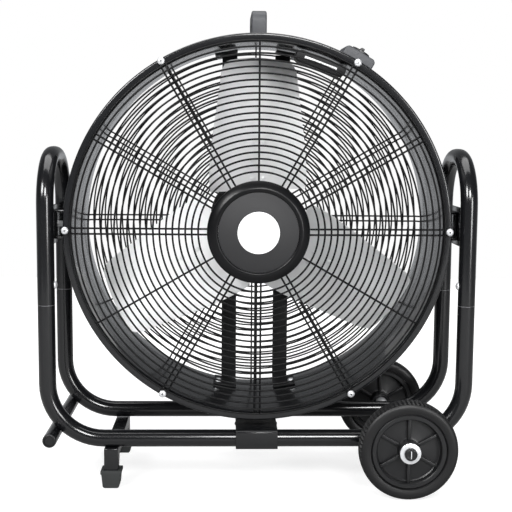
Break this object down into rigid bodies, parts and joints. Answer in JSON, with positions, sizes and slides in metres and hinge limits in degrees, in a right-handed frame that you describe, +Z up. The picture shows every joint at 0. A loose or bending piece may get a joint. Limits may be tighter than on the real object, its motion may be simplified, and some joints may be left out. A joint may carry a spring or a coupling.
{
  "type": "drum fan",
  "caption": "Mobile drum fan on a two-wheeled tube stand, with a tilting steel drum, wire guards and paddle blades.",
  "frame": {"origin": "on the floor below the middle of the stand", "axes": "+X to the right and +Z up seen from the front, the air leaves towards -Y"},
  "size_m": [0.764, 0.4032, 0.8338],
  "materials": {
    "gloss_black_paint": "gloss black powder coat",
    "black_wire": "satin black coated wire",
    "zinc": "bright zinc plate",
    "tyre": "matt rubber",
    "rubber": "matt rubber",
    "grey_plastic": "fine grain",
    "black_plastic": "satin",
    "white_badge": "plain white disc",
    "dark_steel": "satin dark grey",
    "aluminium": "satin sheet"
  },
  "bodies": {
    "stand": {"front_lower_frame": "gloss_black_paint", "rear_lower_frame": "gloss_black_paint", "left_arch": "gloss_black_paint", "right_arch": "gloss_black_paint", "cross_member": "gloss_black_paint", "foot_rail": "gloss_black_paint", "front_foot": "rubber", "rear_foot": "rubber", "lift_bar": "gloss_black_paint", "lift_bar_cap_front": "black_plastic", "lift_bar_cap_rear": "black_plastic", "axle": "zinc", "left_pivot_plate": "gloss_black_paint", "right_pivot_plate": "gloss_black_paint", "left_pivot_bolt": "zinc", "right_pivot_bolt": "zinc", "arch_bolt_front_left": "zinc", "arch_bolt_front_right": "zinc", "arch_bolt_rear_left": "zinc", "arch_bolt_rear_right": "zinc", "front_wheel_washer": "zinc", "rear_wheel_washer": "zinc", "front_axle_cap": "black_plastic", "rear_axle_cap": "black_plastic", "front_wheel_spacer": "zinc", "rear_wheel_spacer": "zinc"},
    "drum": {"drum_shell": "gloss_black_paint", "front_guard": "black_wire", "rear_guard": "black_wire", "front_guard_screw_1": "zinc", "front_guard_screw_2": "zinc", "front_guard_screw_3": "zinc", "front_guard_screw_4": "zinc", "front_guard_screw_5": "zinc", "front_guard_screw_6": "zinc", "rear_guard_screw_1": "zinc", "rear_guard_screw_2": "zinc", "rear_guard_screw_3": "zinc", "rear_guard_screw_4": "zinc", "centre_cap": "black_plastic", "cap_badge": "white_badge", "carry_handle": "grey_plastic", "control_box": "grey_plastic", "cable_inlet": "black_plastic", "motor_housing": "dark_steel", "left_motor_strut": "gloss_black_paint", "right_motor_strut": "gloss_black_paint", "wiring_box": "gloss_black_paint", "left_pivot_bracket": "gloss_black_paint", "right_pivot_bracket": "gloss_black_paint"},
    "rotor": {"rotor_shaft": "zinc", "blade_spider": "dark_steel", "blade_1": "aluminium", "blade_2": "aluminium", "blade_3": "aluminium"},
    "knob": {"speed_knob": "black_plastic"},
    "front_wheel": {"front_wheel_rim": "black_plastic", "front_tyre": "tyre"},
    "rear_wheel": {"rear_wheel_rim": "black_plastic", "rear_tyre": "tyre"}
  },
  "joints": [
    {"name": "drum_tilt", "type": "hinge", "parent": "stand", "child": "drum", "pos_m": [0, 0, 0.45656], "axis": [1, 0, 0], "range_deg": [-91, 89]},
    {"name": "rotor_spin", "type": "hinge", "parent": "drum", "child": "rotor", "pos_m": [0, 0, 0.45656], "axis": [0, 0.9997, 0.0227], "continuous": true},
    {"name": "speed_knob_turn", "type": "hinge", "parent": "drum", "child": "knob", "pos_m": [0.17665, -0.05693, 0.76131], "axis": [0.5, -0.0196, 0.8658], "range_deg": [0, 135]},
    {"name": "front_wheel_spin", "type": "hinge", "parent": "stand", "child": "front_wheel", "pos_m": [0.258, -0.1675, 0.085], "axis": [0, 1, 0], "continuous": true},
    {"name": "rear_wheel_spin", "type": "hinge", "parent": "stand", "child": "rear_wheel", "pos_m": [0.258, 0.1675, 0.085], "axis": [0, 1, 0], "continuous": true}
  ]
}
